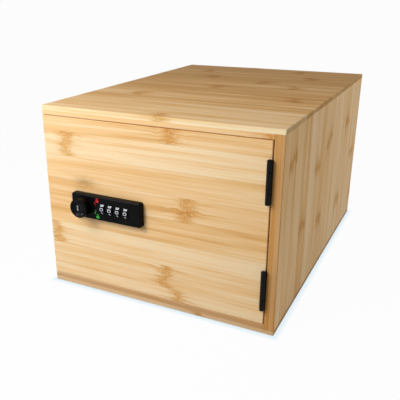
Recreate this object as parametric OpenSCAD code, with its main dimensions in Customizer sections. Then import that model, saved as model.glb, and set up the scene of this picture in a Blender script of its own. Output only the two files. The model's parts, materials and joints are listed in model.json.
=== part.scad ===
// Liquor bottle lock box: a low bamboo cabinet whose door closes on a four-dial lock.
// Lengths are in millimetres. The origin is the middle of the base, +Z is up and the door faces -Y.

/* [Case] */
// Outside width of the case
case_w = 305; // [270:1:380]
// Outside depth of the case, front face to back face
case_d = 426; // [340:1:500]
// Outside height of the case
case_h = 238; // [200:1:300]
// Thickness of the top, bottom and side boards
board_t = 11.5; // [10:0.5:14]
// Thickness of the back board
back_t = 9; // [6:0.5:12]
// Height of the lip that the top and bottom boards carry over the ends of the sides
lip_t = 5.5; // [4:0.5:7]
// Thickness left outside the rabbet that the back board sits in
back_lip = 6; // [4:0.5:8]
// Chamfer that eases the edges of the boards
edge_ease = 0.6; // [0.3:0.1:1]

/* [Door] */
// Thickness of the door board
door_t = 11; // [11:0.5:15]
// Gap above the door and below it
door_gap = 0.8; // [0.5:0.1:1.5]
// Gap behind the door, in front of the left side
door_back_gap = 0.6; // [0.4:0.1:1.2]

/* [Hinges] */
// Length of a hinge along its pin
hinge_len = 48; // [44:1:60]
// Height of a hinge's middle above the base, or below the top of the case
hinge_inset = 56; // [45:0.5:65]
// Thickness of the hinge leaves
leaf_t = 1.2; // [0.9:0.1:1.5]
// Play between a folded leaf and the board it faces
leaf_play = 0.2; // [0.1:0.05:0.4]
// Radius of the hinge pin
pin_r = 1.6; // [1.3:0.1:2]
// Gap between the barrel and the front of the door
barrel_gap = 0.35; // [0.3:0.05:0.8]
// Height of the door leaf, which nests inside the frame leaf
door_leaf_h = 22; // [18:1:26]
// Reach of the door leaf over the edge of the door
door_leaf_reach = 9.5; // [8:0.5:10.5]
// Width of the web of the frame leaf behind the tip of the door leaf
leaf_web = 6; // [4:0.5:8]
// Gap round the nested door leaf
leaf_gap = 0.5; // [0.3:0.1:0.8]
// Corner radius of the leaves
leaf_corner = 2; // [1:0.5:3]
// Chamfer at the ends of the hinge's knuckles
knuckle_ease = 0.3; // [0.2:0.1:0.4]
// Radius of the head that keeps the pin in
pin_head_r = 2.4; // [2.2:0.1:2.6]
// Height of the pin's head
pin_head_h = 1.1; // [0.8:0.1:1.5]

/* [Wood screws] */
// Shank radius of the screws that hold the hinges and the strike
wood_screw_r = 1.5; // [1.2:0.1:1.7]
// Length of these screws in the wood
wood_screw_len = 8; // [6:0.5:9]
// Distance between the two screws of a door leaf
door_screw_pitch = 12; // [9:0.5:14]
// Distance of the frame leaves' screws behind the front of the case
frame_screw_y = 8; // [6:0.5:10]

/* [Lock housing] */
// Distance from the left face of the case to the housing
lock_inset = 41.5; // [37:0.5:60]
// Height of the housing's face
lock_h = 31; // [29:1:36]
// How far the housing stands out of the door
lock_proud = 8; // [7.5:0.5:10]
// Thickness of the housing's front wall
lock_wall = 1.5; // [1.2:0.1:2]
// Corner radius of the housing's outline
lock_corner = 3; // [3:0.5:7]
// Radius of the rounded edge round the housing's face
lock_edge = 2; // [1:0.5:2.5]
// Wall of the body behind the face, which passes through the door
tub_wall = 1.2; // [1:0.1:1.6]
// Clearance between that body and the cut-out in the door
cutout_gap = 0.4; // [0.2:0.1:1]
// Thickness of the cover that clamps the lock from inside
cover_t = 1.5; // [1.2:0.1:2.5]
// How far the cover reaches past the cut-out at the ends
cover_lap = 3; // [2:0.5:4]
// Height of the cover
cover_h = 28; // [26:1:30]

/* [Knob and key plug] */
// Distance from the left end of the housing to the knob's axis
knob_inset = 17; // [14:0.5:18]
// Radius of the knob
knob_r = 12.2; // [11:0.1:13]
// Length of the knob
knob_len = 10.3; // [9:0.1:13]
// Gap between the knob and the housing's face
knob_gap = 0.3; // [0.2:0.1:0.8]
// Radius of the rim round the dished face
dish_r = 10; // [8.5:0.1:10.2]
// Radius of the flat floor of the dish
floor_r = 7.2; // [6.4:0.1:7.8]
// Depth of the dish
dish_depth = 1.8; // [1:0.1:2.5]
// Radius of the spindle
spindle_r = 5.5; // [5.3:0.1:5.9]
// Radius of the key plug
plug_r = 4; // [3.5:0.1:4.3]
// Length of the key plug
plug_len = 14.5; // [12:0.5:15]
// Width of the keyway
keyway_w = 1.8; // [1:0.1:2]
// Height of the keyway
keyway_h = 5.4; // [4.5:0.1:5.6]
// Running clearance of shafts in their bores, on the radius
run_fit = 0.05; // [0.03:0.01:0.08]

/* [Dials] */
// Distance from the left end of the housing to the first dial
dial_inset = 45; // [43:0.5:48]
// Distance from the last dial to the right end of the housing
dial_end = 20.5; // [19.5:0.5:26]
// Radius of a dial wheel
wheel_r = 9; // [8.5:0.1:9.3]
// Width of a dial wheel
wheel_w = 6.9; // [6:0.1:8]
// How far the wheels stand out of the housing's face
wheel_proud = 2.2; // [2:0.1:3.4]
// Gap between a wheel and its window
window_gap = 0.35; // [0.3:0.05:0.6]
// Width of the grooves between the digits
groove_w = 1.2; // [0.8:0.1:1.6]
// Depth of those grooves
groove_d = 0.45; // [0.3:0.05:0.6]
// Radius of the axle that carries the dials
axle_r = 1.5; // [1.2:0.1:1.7]
// Radius of the code sleeves, on which the wheels turn
sleeve_r = 2.9; // [2.7:0.1:3.1]
// Gap between the sleeves' gated flanges and the housing's front wall
flange_gap = 0.2; // [0.1:0.05:0.3]
// Thickness of the flanges
flange_t = 1.5; // [1.2:0.1:1.8]
// Thickness of the detent spring
spring_t = 0.4; // [0.3:0.1:0.6]
// Width of each tongue of the detent spring
tongue_w = 3; // [2:0.5:4]

/* [Locking bar] */
// Thickness of the bar
bar_t = 1.2; // [1:0.1:1.5]
// Height of the bar's strip
bar_h = 8; // [7.5:0.5:8.5]
// Thickness of the fingers that enter the gates
finger_t = 1; // [0.8:0.1:1.2]
// Width of the fingers
finger_w = 2; // [1.6:0.1:2.4]
// Clearance between a withdrawn finger and its flange
finger_gap = 0.65; // [0.4:0.05:0.9]
// Radius of the eccentric that drives the bar
eccentric_r = 6; // [5.8:0.1:6.4]
// Clearance of the eccentric in the bar's yoke
yoke_gap = 0.12; // [0.1:0.01:0.2]
// Wall of the yoke
yoke_wall = 1.3; // [1:0.1:1.6]

/* [Cam and strike] */
// Width of the cam
cam_w = 16; // [14:0.5:18]
// Thickness of the cam
cam_t = 2; // [1.5:0.1:3]
// Gap between the tip of the locked cam and the strike's base
cam_tip_gap = 6; // [3:0.5:8]
// Gap between the cam and the strike's leg
cam_gap = 0.5; // [0.3:0.1:1]
// Width across the flats of the spindle's square end
square_w = 6; // [5:0.1:6.2]
// Thickness of the strike plate
strike_t = 1.5; // [1.2:0.1:2.5]
// Height of the strike plate
strike_h = 40; // [36:1:50]
// Width of the strike's leg, which the cam locks behind
strike_leg = 13; // [11:0.5:15]
// Length of the strike's base along the side
strike_base = 20; // [16:1:26]

/* [Machine screws] */
// Shank radius of the screws that hold the cover and clamp the lock
machine_screw_r = 1.5; // [1.2:0.1:1.6]
// Length of the two short cover screws
cover_screw_len = 8; // [6:0.5:9]
// How far the two long screws enter the housing's face
mounting_bite = 5; // [4:0.5:5.5]
// Radius of the screws' pan heads
pan_r = 2.7; // [2.4:0.1:2.9]
// Height of the pan heads
pan_h = 1.8; // [1.4:0.1:2.2]
// Radius of the cam screw
cam_screw_r = 2; // [1.6:0.1:2.2]
// Length of the cam screw
cam_screw_len = 7; // [6:0.5:8]
// Thickness of the cam washer
washer_t = 0.8; // [0.6:0.1:1.2]

/* [Hidden] */
$fn = 64;

// Colours
bamboo = "#e6c38e";
bamboo_edge = "#cf9f63";
black_steel = "#2a2a2c";
zinc_black = "#1d1e20";
steel = "#b9bcc0";
brass = "#c9a55a";

// How far a cut runs past the face it opens
over = 1;
// Number of dials, and of digits on each
dials = 4;
digits = 10;

// Case
left_x = -case_w / 2;
right_x = case_w / 2;
front_y = -case_d / 2;
back_y = case_d / 2;
left_inner_x = left_x + board_t;
right_inner_x = right_x - board_t;
floor_z = board_t;
ceiling_z = case_h - board_t;
left_front_y = front_y + door_t + door_back_gap;
back_depth = board_t - back_lip;

// Hinges
knuckle_r = pin_r + run_fit + leaf_t;
hinge_gap = leaf_t + leaf_play;
hinge_x = right_inner_x - knuckle_r;
hinge_y = front_y - barrel_gap - knuckle_r;
hinge_heights = [case_h - hinge_inset, hinge_inset];
nest_h = door_leaf_h + 2 * leaf_gap;
nest_reach = door_leaf_reach + leaf_gap;
frame_leaf_reach = nest_reach + leaf_web;
frame_screw_z = (nest_h + hinge_len) / 4;

// Screw heads lie this far below the face of their plate
head_set = 0.1;
// Clearance of a screw in its pilot hole, on the radius, and past its tip
pilot_gap = 0.1;
tip_gap = 0.5;
// Share of a screw head's radius and height that its cross recess takes
recess_share = 0.6;

// Door
door_w = case_w - board_t - hinge_gap;
door_h = case_h - 2 * board_t - 2 * door_gap;

// Bar, fingers and dials, across the lock: y counts into the door from its front face
side_play = 0.2;
finger_room = 0.75;
bar_travel = (flange_t + finger_t) / 2 + finger_gap;
flange_x = wheel_w / 2 + side_play;
finger_x = flange_x + (flange_t - finger_t) / 2;
finger_end_x = finger_x + finger_t + bar_travel;
dial_pitch = wheel_w / 2 + finger_end_x + finger_room;
lock_len = dial_inset + (dials - 1) * dial_pitch + dial_end;
lock_x = left_x + lock_inset + lock_len / 2;
lock_z = case_h / 2;
knob_x = knob_inset - lock_len / 2;
function dial_x(i) = dial_inset - lock_len / 2 + (i - 1) * dial_pitch;
wheel_y = wheel_r - lock_proud - wheel_proud;
wheel_room = 1.2;
flange_r = wheel_y + lock_proud - lock_wall - flange_gap;
sleeve_gap = 0.1;
bar_room = 0.9;
bar_y = wheel_y + wheel_r + bar_room;
bar_back_y = bar_y + bar_t;
bar_slide_gap = 0.2;

// Hollows of the housing
axle_seat = 2.5;
cavity_x0 = dial_x(1) + flange_x + flange_t - dial_pitch;
cavity_x1 = dial_x(dials) + finger_end_x + bar_slide_gap * 2;
cavity_half_h = wheel_r + wheel_room;
cavity_y = lock_wall - lock_proud;
tub_half_h = cavity_half_h + tub_wall;
last_sleeve_x = dial_x(dials) + flange_x + flange_t;

// Eccentric and yoke: the eccentric swings 45 degrees each side of its lowest point
eccentric_off = bar_travel / (2 * sin(45));
eccentric_over = 0.1;
pocket_gap = 0.35;
yoke_half_w = eccentric_r + yoke_gap;
yoke_half_h = eccentric_r + eccentric_off + pocket_gap;
pocket_half_w = yoke_half_w + yoke_wall + bar_travel / 2 + pocket_gap;
pocket_half_h = yoke_half_h + yoke_wall + pocket_gap;
pocket_y = bar_y - pocket_gap;
tub_x0 = knob_x - pocket_half_w - tub_wall;
tub_x1 = cavity_x1 + axle_seat;

// Posts of the cover that hold the axle in its seats
post_play = 0.1;
post_w = axle_seat - 2 * post_play;
post_h = 2 * axle_r - 2 * post_play;
post_y = wheel_y + axle_r + run_fit;
post_centres = [cavity_x0 - axle_seat / 2, cavity_x1 + axle_seat / 2];

// Cover, and its rails behind the bar
cover_corner = 3;
cover_end = 1.5;
rail_w = 1.2;
rail_inset = 1.5;

// Detent spring: the gap over the wheels, the rise of its tongues and its gaps at the ends and at the cover
spring_gap = 0.6;
spring_rise = 3;
spring_inset = 1;
spring_back_gap = 0.3;

// Spindle, cam and strike
knob_face_y = -(lock_proud + knob_gap + knob_len);
knob_bevel = 1;
rim_round = 0.8;
dish_floor_y = knob_face_y + dish_depth;
plug_set = 0.3;
plug_end_gap = 0.3;
keyway_end = 1.5;
press_gap = 0.02;
plug_back_y = dish_floor_y + plug_set + plug_len;
cover_back_y = door_t + cover_t;
strike_front_y = left_front_y - front_y;
strike_corner = 3;
strike_screw_inset = 8;
cam_y = strike_front_y + strike_t + cam_gap;
cam_back_y = cam_y + cam_t;
neck_over = 0.06;
neck_r = square_w / 2 * sqrt(2) + neck_over;
cam_len = lock_x + knob_x - left_inner_x - strike_t - cam_tip_gap;
cam_corner = cam_w / 4;
square_gap = 0.05;
square_short = 0.2;
washer_r = square_w;
cam_head_r = 3.8;
cam_head_h = 2.2;

// Screws of the lock: two into the body between yoke and dials, two at the right end
short_screw_x = (knob_x + pocket_half_w + cavity_x0 - axle_seat) / 2;
long_screw_inset = 4.5;
long_screw_x = lock_len / 2 - long_screw_inset;
lock_screw_z = 8;
through_gap = 0.2;

// Plain shapes

module block(lo, hi)
    translate(lo) cube(hi - lo);

module rod_x(r, from, to)
    translate([from, 0, 0]) rotate([0, 90, 0]) cylinder(r = r, h = to - from);

module rod_y(r, from, to)
    translate([0, from, 0]) rotate([-90, 0, 0]) cylinder(r = r, h = to - from);

// A rectangle with its four corners cut off
function chamfered(w, h, c) =
    [[c, 0], [w - c, 0], [w, c], [w, h - c], [w - c, h], [c, h], [0, h - c], [0, c]];

// A board with all its edges eased, from one corner
module eased_board(size, ease)
    intersection() {
        linear_extrude(size.z) polygon(chamfered(size.x, size.y, ease));
        translate([0, size.y, 0]) rotate([90, 0, 0])
            linear_extrude(size.y) polygon(chamfered(size.x, size.z, ease));
        rotate([90, 0, 90]) linear_extrude(size.x) polygon(chamfered(size.y, size.z, ease));
    }

// A rectangle with round corners, centred
module rounded_rect(w, h, r) {
    square([w - 2 * r, h], center = true);
    square([w, h - 2 * r], center = true);
    for (sx = [-1, 1], sy = [-1, 1])
        translate([sx * (w / 2 - r), sy * (h / 2 - r)]) circle(r);
}

// A plate in the XZ plane with round corners, from y = 0 inwards
module plate_xz(w, h, r, t)
    translate([0, t, 0]) rotate([90, 0, 0]) linear_extrude(t) rounded_rect(w, h, r);

// Half outline of a plate of half width w and depth d whose outer edge is rounded by r
module edge_profile(w, d, r) {
    square([w, d - r]);
    square([w - r, d]);
    translate([w - r, d - r]) circle(r);
}

// The housing's outer form: round corners, and a rounded edge round the face, which is at z = depth
module rounded_face(w, h, depth, corner, edge) {
    for (sx = [-1, 1], sy = [-1, 1])
        translate([sx * (w / 2 - corner), sy * (h / 2 - corner), 0])
            rotate_extrude() edge_profile(corner, depth, edge);
    for (side = [-1, 1]) {
        translate([0, h / 2 - corner, 0]) rotate([90, 0, 0])
            linear_extrude(h - 2 * corner) scale([side, 1]) edge_profile(w / 2, depth, edge);
        translate([corner - w / 2, 0, 0]) rotate([90, 0, 90])
            linear_extrude(w - 2 * corner) scale([side, 1]) edge_profile(h / 2, depth, edge);
    }
}

// A low dome on top of a disc of radius r
module dome(r, h) {
    curve_r = (r * r + h * h) / (2 * h);
    intersection() {
        translate([0, 0, h - curve_r]) sphere(curve_r);
        cylinder(r = r, h = h);
    }
}

// Cross recess cut in a screw head whose top is at z = 0
module cross_recess(r, depth)
    for (turn = [0, 90])
        rotate(turn) translate([-r, -r / 5, -depth]) cube([2 * r, 2 * r / 5, depth + over]);

// Countersunk wood screw through a plate: the plate's face is at z = 0, the point goes to -Z
module wood_screw(plate_t) {
    head_r = wood_screw_r + plate_t - head_set;
    difference() {
        union() {
            translate([0, 0, -plate_t])
                cylinder(r1 = wood_screw_r, r2 = head_r, h = plate_t - head_set);
            translate([0, 0, -plate_t - wood_screw_len + wood_screw_r])
                cylinder(r = wood_screw_r, h = wood_screw_len - wood_screw_r + plate_t / 2);
            translate([0, 0, -plate_t - wood_screw_len])
                cylinder(r1 = wood_screw_r / 5, r2 = wood_screw_r, h = wood_screw_r);
        }
        translate([0, 0, -head_set]) cross_recess(head_r * recess_share, plate_t * recess_share);
    }
}

// The hole for that screw in its plate
module countersink(plate_t) {
    head_r = wood_screw_r + plate_t;
    translate([0, 0, -plate_t]) cylinder(r1 = wood_screw_r + pilot_gap, r2 = head_r + pilot_gap, h = plate_t);
    translate([0, 0, -plate_t - over]) cylinder(r = wood_screw_r + pilot_gap, h = plate_t + over);
    cylinder(r = head_r + pilot_gap, h = over);
}

// The pilot hole for that screw in the wood behind the plate
module pilot(plate_t)
    translate([0, 0, -plate_t - wood_screw_len - tip_gap])
        cylinder(r = wood_screw_r + pilot_gap, h = wood_screw_len + tip_gap + plate_t);

// Pan-head machine screw: the head sits on z = 0 and the shank goes to -Z
module machine_screw(r, len, head_r, head_h)
    difference() {
        union() {
            translate([0, 0, -len]) cylinder(r = r, h = len + head_h / 2);
            cylinder(r = head_r, h = head_h / 3);
            translate([0, 0, head_h / 3]) dome(head_r, head_h * 2 / 3);
        }
        translate([0, 0, head_h]) cross_recess(head_r * recess_share, head_h * recess_share);
    }

// Case

// The space that the back board fills, open behind
module back_space(reach)
    block([left_inner_x - back_depth, back_y - back_t, floor_z - back_depth],
          [right_inner_x + back_depth, back_y + reach, ceiling_z + back_depth]);

// A side board's space, between the lips of the top and the bottom
module side_space(x0, x1, y0, y1)
    block([x0, y0, lip_t], [x1, y1, case_h - lip_t]);

module side_spaces() {
    side_space(left_x - over, left_inner_x, left_front_y, back_y + over);
    side_space(right_inner_x, right_x + over, front_y - over, back_y + over);
}

// A full-width board, rabbeted for the sides and the back
module lipped_board(z)
    difference() {
        translate([left_x, front_y, z]) eased_board([case_w, case_d, board_t], edge_ease);
        side_spaces();
        back_space(over);
    }

module top_board()
    color(bamboo) lipped_board(ceiling_z);

module bottom_board()
    color(bamboo) lipped_board(0);

module left_board()
    color(bamboo) difference() {
        translate([left_x, left_front_y, lip_t])
            linear_extrude(case_h - 2 * lip_t) polygon(chamfered(board_t, back_y - left_front_y, edge_ease));
        back_space(over);
        at_strike_screws() pilot(strike_t);
    }

module right_board()
    color(bamboo) difference() {
        translate([right_inner_x, front_y, lip_t])
            linear_extrude(case_h - 2 * lip_t) polygon(chamfered(board_t, case_d, edge_ease));
        back_space(over);
        at_frame_leaf_screws() pilot(leaf_t);
    }

module back_board()
    color(bamboo_edge) back_space(0);

// Hinges: the frame leaf is a C on the side board, and the door leaf nests inside it

module at_hinges()
    for (z = hinge_heights)
        translate([hinge_x, hinge_y, z]) children();

// Screw places in a hinge's own frame, their heads towards the board they face
module frame_screw_places()
    for (side = [-1, 1])
        translate([knuckle_r - leaf_t, front_y - hinge_y + frame_screw_y, side * frame_screw_z])
            rotate([0, -90, 0]) children();

module door_screw_places()
    for (side = [-1, 1])
        translate([knuckle_r - leaf_play, front_y - hinge_y + door_t / 2, side * door_screw_pitch / 2])
            rotate([0, 90, 0]) children();

module at_frame_leaf_screws()
    at_hinges() frame_screw_places() children();

module at_door_leaf_screws()
    at_hinges() door_screw_places() children();

// Outline of a leaf that runs from the pin to reach, drawn with y across the board and z along the pin
module leaf_plate(reach, h) {
    run = front_y - hinge_y + reach;
    rotate([90, 0, 90]) linear_extrude(leaf_t) {
        translate([0, -h / 2]) square([run - leaf_corner, h]);
        translate([0, leaf_corner - h / 2]) square([run, h - 2 * leaf_corner]);
        for (side = [-1, 1])
            translate([run - leaf_corner, side * (h / 2 - leaf_corner)]) circle(leaf_corner);
    }
}

module pin_bore()
    translate([0, 0, -hinge_len]) cylinder(r = pin_r + run_fit, h = 2 * hinge_len);

// A knuckle with its ends eased, from z = 0 up
module knuckle(h)
    rotate_extrude()
        polygon([[0, 0], [knuckle_r - knuckle_ease, 0], [knuckle_r, knuckle_ease],
                 [knuckle_r, h - knuckle_ease], [knuckle_r - knuckle_ease, h], [0, h]]);

module frame_leaf(z)
    color(black_steel) translate([hinge_x, hinge_y, z])
        difference() {
            union() {
                difference() {
                    translate([knuckle_r - leaf_t, 0, 0]) leaf_plate(frame_leaf_reach, hinge_len);
                    block([0, -over, -nest_h / 2],
                          [knuckle_r + over, front_y - hinge_y + nest_reach, nest_h / 2]);
                }
                translate([0, 0, -hinge_len / 2]) knuckle((hinge_len - nest_h) / 2);
                translate([0, 0, nest_h / 2]) knuckle((hinge_len - nest_h) / 2);
            }
            pin_bore();
            frame_screw_places() countersink(leaf_t);
        }

module door_leaf(z)
    color(black_steel) translate([hinge_x, hinge_y, z])
        difference() {
            union() {
                translate([knuckle_r - hinge_gap, 0, 0]) leaf_plate(door_leaf_reach, door_leaf_h);
                translate([0, 0, -door_leaf_h / 2]) knuckle(door_leaf_h);
            }
            pin_bore();
            door_screw_places() countersink(leaf_t);
        }

module hinge_pin(z)
    color(black_steel) translate([hinge_x, hinge_y, z]) {
        translate([0, 0, -hinge_len / 2 - pin_head_h / 2]) cylinder(r = pin_r, h = hinge_len + pin_head_h);
        translate([0, 0, hinge_len / 2]) dome(pin_head_r, pin_head_h);
        translate([0, 0, -hinge_len / 2]) rotate([180, 0, 0]) dome(pin_head_r, pin_head_h);
    }

module frame_leaf_screws()
    color(black_steel) at_frame_leaf_screws() wood_screw(leaf_t);

module door_leaf_screws()
    color(black_steel) at_door_leaf_screws() wood_screw(leaf_t);

// Strike

module at_strike_screws()
    for (side = [-1, 1])
        translate([left_inner_x + strike_t,
                   left_front_y + (strike_t + strike_base) / 2,
                   lock_z + side * (strike_h / 2 - strike_screw_inset)])
            rotate([0, 90, 0]) children();

module strike_plate()
    color(black_steel) difference() {
        union() {
            block([left_inner_x, left_front_y, lock_z - strike_h / 2],
                  [left_inner_x + strike_t, left_front_y + strike_base, lock_z + strike_h / 2]);
            translate([left_inner_x, left_front_y, lock_z])
                rotate([90, 0, 0]) mirror([0, 0, 1]) linear_extrude(strike_t) strike_leg_outline();
        }
        at_strike_screws() countersink(strike_t);
    }

// The leg's outline, with its free corners rounded
module strike_leg_outline() {
    r = strike_corner;
    translate([0, -strike_h / 2]) square([strike_leg - r, strike_h]);
    translate([0, r - strike_h / 2]) square([strike_leg, strike_h - 2 * r]);
    for (side = [-1, 1])
        translate([strike_leg - r, side * (strike_h / 2 - r)]) circle(r);
}

module strike_screws()
    color(steel) at_strike_screws() wood_screw(strike_t);

// Door

module in_lock()
    translate([lock_x, front_y, lock_z]) children();

module door_panel()
    color(bamboo) difference() {
        translate([left_x, front_y, floor_z + door_gap]) eased_board([door_w, door_t, door_h], edge_ease);
        in_lock() {
            block([tub_x0 - cutout_gap, -over, -tub_half_h - cutout_gap],
                  [tub_x1 + cutout_gap, door_t + over, tub_half_h + cutout_gap]);
            for (side = [-1, 1])
                translate([long_screw_x, 0, side * lock_screw_z])
                    rod_y(machine_screw_r + through_gap, -over, door_t + over);
        }
        at_door_leaf_screws() pilot(leaf_t);
    }

// Lock housing and what it holds

// A seat for the axle, open to the back so that the axle drops in
module axle_slot(x0, x1) {
    translate([0, wheel_y, 0]) rod_x(axle_r + run_fit, x0, x1);
    block([x0, wheel_y, -axle_r - run_fit], [x1, door_t + over, axle_r + run_fit]);
}

module lock_housing()
    color(zinc_black) in_lock() difference() {
        union() {
            rotate([90, 0, 0]) rounded_face(lock_len, lock_h, lock_proud, lock_corner, lock_edge);
            block([tub_x0, -over, -tub_half_h], [tub_x1, door_t, tub_half_h]);
        }
        difference() {
            block([cavity_x0, cavity_y, -cavity_half_h], [cavity_x1, door_t + over, cavity_half_h]);
            translate([0, wheel_y, 0]) rod_x(sleeve_r, last_sleeve_x + sleeve_gap, cavity_x1 + over);
        }
        block([knob_x - pocket_half_w, pocket_y, -pocket_half_h],
              [knob_x + pocket_half_w, door_t + over, pocket_half_h]);
        block([knob_x, pocket_y, -bar_h / 2 - bar_slide_gap],
              [cavity_x0 + over, door_t + over, bar_h / 2 + bar_slide_gap]);
        axle_slot(cavity_x0 - axle_seat, cavity_x0 + over);
        axle_slot(last_sleeve_x, cavity_x1 + axle_seat);
        for (i = [1:dials])
            translate([dial_x(i), wheel_y, 0])
                rod_x(wheel_r + window_gap, -wheel_w / 2 - window_gap, wheel_w / 2 + window_gap);
        translate([knob_x, 0, 0]) rod_y(spindle_r + run_fit, -lock_proud - over, door_t);
        at_lock_screws(short_screw_x)
            rod_y(machine_screw_r + pilot_gap, cover_back_y - cover_screw_len - tip_gap, door_t + over);
        at_lock_screws(long_screw_x) rod_y(machine_screw_r + pilot_gap, -mounting_bite - tip_gap, over);
    }

module at_lock_screws(x)
    for (side = [-1, 1])
        translate([x, 0, side * lock_screw_z]) children();

// Cover behind the door, with the posts that seat the axle and the rails behind the bar
module lock_cover() {
    cover_x0 = tub_x0 - cutout_gap - cover_lap;
    cover_x1 = lock_len / 2 - cover_end;
    color(black_steel) in_lock() difference() {
        union() {
            translate([(cover_x0 + cover_x1) / 2, door_t, 0])
                plate_xz(cover_x1 - cover_x0, cover_h, cover_corner, cover_t);
            for (x = post_centres)
                block([x - post_w / 2, post_y, -post_h / 2], [x + post_w / 2, door_t + cover_t / 2, post_h / 2]);
            for (side = [-1, 1])
                translate([0, 0, side * (bar_h / 2 - rail_w)])
                    block([cavity_x0 + rail_inset, bar_back_y + bar_slide_gap, -rail_w / 2],
                          [cavity_x1 - rail_inset, door_t + cover_t / 2, rail_w / 2]);
        }
        translate([knob_x, 0, 0]) rod_y(neck_r + run_fit, 0, cover_back_y + over);
        for (x = [short_screw_x, long_screw_x])
            at_lock_screws(x) rod_y(machine_screw_r + pilot_gap, 0, cover_back_y + over);
    }
}

module cover_screws()
    color(steel) in_lock() at_lock_screws(short_screw_x)
        translate([0, cover_back_y, 0]) rotate([-90, 0, 0])
            machine_screw(machine_screw_r, cover_screw_len, pan_r, pan_h);

module mounting_screws()
    color(steel) in_lock() at_lock_screws(long_screw_x)
        translate([0, cover_back_y, 0]) rotate([-90, 0, 0])
            machine_screw(machine_screw_r, cover_back_y + mounting_bite, pan_r, pan_h);

module dial_axle()
    color(steel) in_lock() translate([0, wheel_y, 0])
        rod_x(axle_r, cavity_x0 - axle_seat + post_play, cavity_x1 + axle_seat - post_play);

// A sleeve: a hub that fills the way to its neighbour, and a flange with a gate towards the bar
module code_sleeve(i)
    color(brass) in_lock() translate([dial_x(i), wheel_y, 0])
        difference() {
            union() {
                rod_x(sleeve_r, flange_x + flange_t + sleeve_gap - dial_pitch, flange_x + flange_t);
                rod_x(flange_r, flange_x, flange_x + flange_t);
            }
            rod_x(axle_r + run_fit, -dial_pitch, dial_pitch);
            block([flange_x, sleeve_r, -finger_w / 2 - bar_slide_gap],
                  [flange_x + flange_t + over, flange_r + over, finger_w / 2 + bar_slide_gap]);
        }

// A comb of leaf springs on the roof of the cavity, one tongue to each wheel
module detent_spring() {
    tip_y = wheel_y + (wheel_r + spring_gap) * cos(45);
    tip_z = (wheel_r + spring_gap) * sin(45);
    bend_y = tip_y + spring_rise;
    strip_z = cavity_half_h - spring_t;
    color(steel) in_lock() {
        block([cavity_x0 + spring_inset, bend_y, strip_z],
              [cavity_x1 - spring_inset, door_t - spring_back_gap, cavity_half_h]);
        for (i = [1:dials])
            translate([dial_x(i) - tongue_w / 2, 0, 0]) rotate([90, 0, 90]) linear_extrude(tongue_w)
                polygon([[tip_y, tip_z], [tip_y + spring_t, tip_z - spring_t / 10],
                         [bend_y + spring_t, strip_z], [bend_y + spring_t, cavity_half_h],
                         [bend_y, cavity_half_h]]);
    }
}

// Knob, spindle and cam

module knob()
    color(zinc_black) in_lock() translate([knob_x, knob_face_y, 0]) rotate([-90, 0, 0])
        difference() {
            rotate_extrude() knob_profile();
            translate([0, 0, -over]) cylinder(r = spindle_r + press_gap, h = knob_len + 2 * over);
        }

// Half section of the knob, x = radius and y = depth behind its face
module knob_profile()
    difference() {
        union() {
            translate([0, rim_round]) square([knob_r, knob_len - rim_round - knob_bevel]);
            square([knob_r - rim_round, knob_len]);
            translate([knob_r - rim_round, rim_round]) circle(rim_round, $fn = 32);
        }
        polygon([[0, -over], [dish_r, -over], [dish_r, 0], [floor_r, dish_depth], [0, dish_depth]]);
    }

module spindle()
    color(steel) in_lock() translate([knob_x, 0, 0]) difference() {
        union() {
            rod_y(spindle_r, dish_floor_y, bar_y - eccentric_over);
            translate([-bar_travel / 2, 0, -bar_travel / 2])
                rod_y(eccentric_r, bar_y - eccentric_over, bar_back_y + eccentric_over);
            rod_y(neck_r, bar_back_y, cam_y);
            block([-square_w / 2, cam_y - over, -square_w / 2],
                  [square_w / 2, cam_back_y - square_short, square_w / 2]);
        }
        rod_y(plug_r + run_fit, dish_floor_y - over, plug_back_y + plug_end_gap);
        rod_y(cam_screw_r + pilot_gap, cam_back_y - cam_screw_len - tip_gap, cam_back_y + over);
    }

// The cam points up while the lock is open
module lock_cam()
    color(steel) in_lock() translate([knob_x, cam_back_y, 0]) rotate([90, 0, 0]) linear_extrude(cam_t)
        difference() {
            union() {
                circle(cam_w / 2);
                translate([-cam_w / 2, 0]) square([cam_w, cam_len - cam_corner]);
                translate([cam_corner - cam_w / 2, 0]) square([cam_w - 2 * cam_corner, cam_len]);
                for (side = [-1, 1])
                    translate([side * (cam_w / 2 - cam_corner), cam_len - cam_corner]) circle(cam_corner);
            }
            square(square_w + 2 * square_gap, center = true);
        }

module cam_washer()
    color(steel) in_lock() translate([knob_x, 0, 0]) difference() {
        rod_y(washer_r, cam_back_y, cam_back_y + washer_t);
        rod_y(cam_screw_r + pilot_gap, cam_back_y - over, cam_back_y + washer_t + over);
    }

module cam_screw()
    color(steel) in_lock() translate([knob_x, cam_back_y + washer_t, 0]) rotate([-90, 0, 0])
        machine_screw(cam_screw_r, cam_screw_len, cam_head_r, cam_head_h);

module key_plug()
    color(steel) in_lock() translate([knob_x, 0, 0]) difference() {
        rod_y(plug_r, dish_floor_y + plug_set, plug_back_y);
        block([-keyway_w / 2, dish_floor_y - over, -keyway_h / 2],
              [keyway_w / 2, plug_back_y - keyway_end, keyway_h / 2]);
    }

// Dials

// A wheel with a flat for each digit, marked off by grooves; a digit faces the front at rest
module dial_wheel(i)
    color(zinc_black) in_lock() translate([dial_x(i), wheel_y, 0]) difference() {
        rotate([0, 90, 0]) rotate_extrude() wheel_profile();
        for (k = [0:digits - 1])
            rotate([(k + 0.5) * 360 / digits, 0, 0])
                block([-wheel_w, wheel_r - groove_d, -groove_w / 2], [wheel_w, wheel_r + over, groove_w / 2]);
    }

module wheel_profile() {
    bevel = 0.4;
    bore_r = sleeve_r + run_fit;
    polygon([[bore_r, -wheel_w / 2], [wheel_r - bevel, -wheel_w / 2], [wheel_r, bevel - wheel_w / 2],
             [wheel_r, wheel_w / 2 - bevel], [wheel_r - bevel, wheel_w / 2], [bore_r, wheel_w / 2]]);
}

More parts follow.
